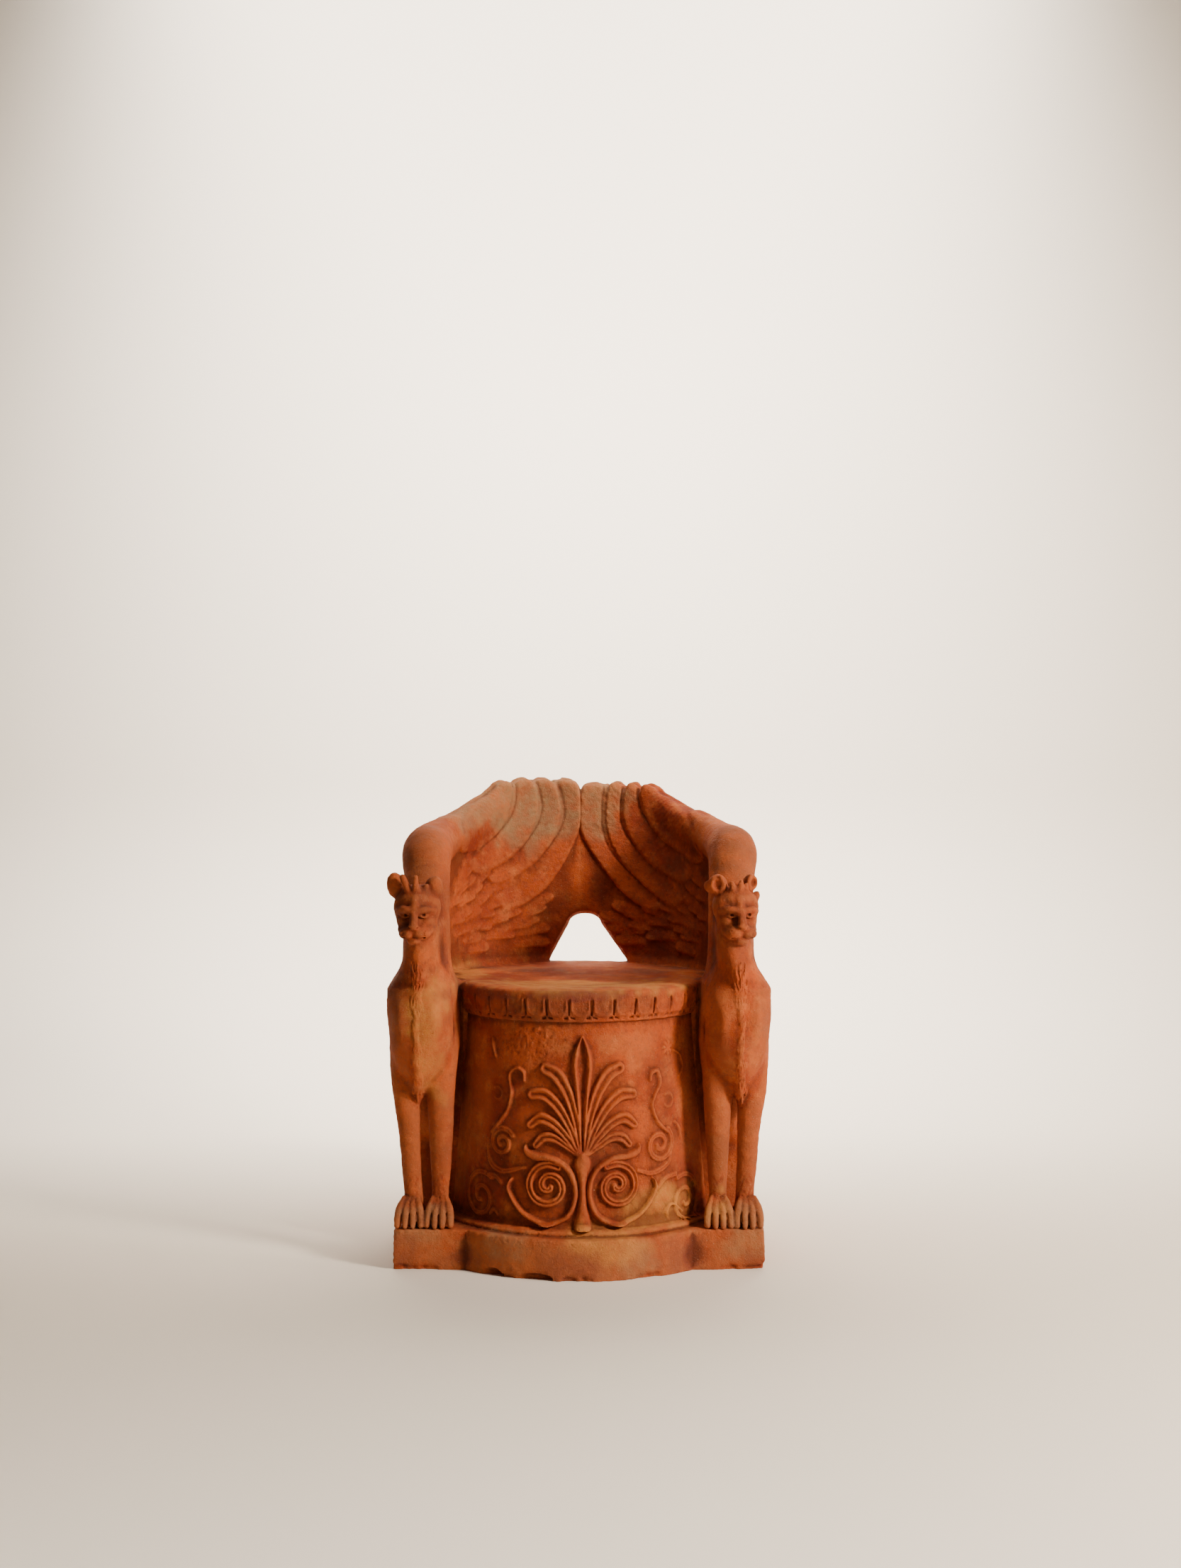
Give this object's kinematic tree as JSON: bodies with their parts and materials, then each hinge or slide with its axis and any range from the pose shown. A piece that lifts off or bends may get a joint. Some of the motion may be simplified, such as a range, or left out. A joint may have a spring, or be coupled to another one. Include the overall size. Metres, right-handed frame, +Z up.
{
  "type": "terracotta throne seat",
  "caption": "Fired-clay throne: a drum seat between two winged, horned beasts on a bowed plinth, with their wings meeting behind it as a curved back over an arch.",
  "frame": {"origin": "middle of the bounding box on the ground, under the underside of the plinth", "axes": "+Z up; the seat's front looks along -Y; +X to the right of someone facing the front"},
  "size_m": [0.6542, 0.5766, 0.8142],
  "materials": {
    "terracotta": "fired clay, matt, weathered"
  },
  "bodies": {
    "root": {"throne": "terracotta"}
  },
  "joints": []
}
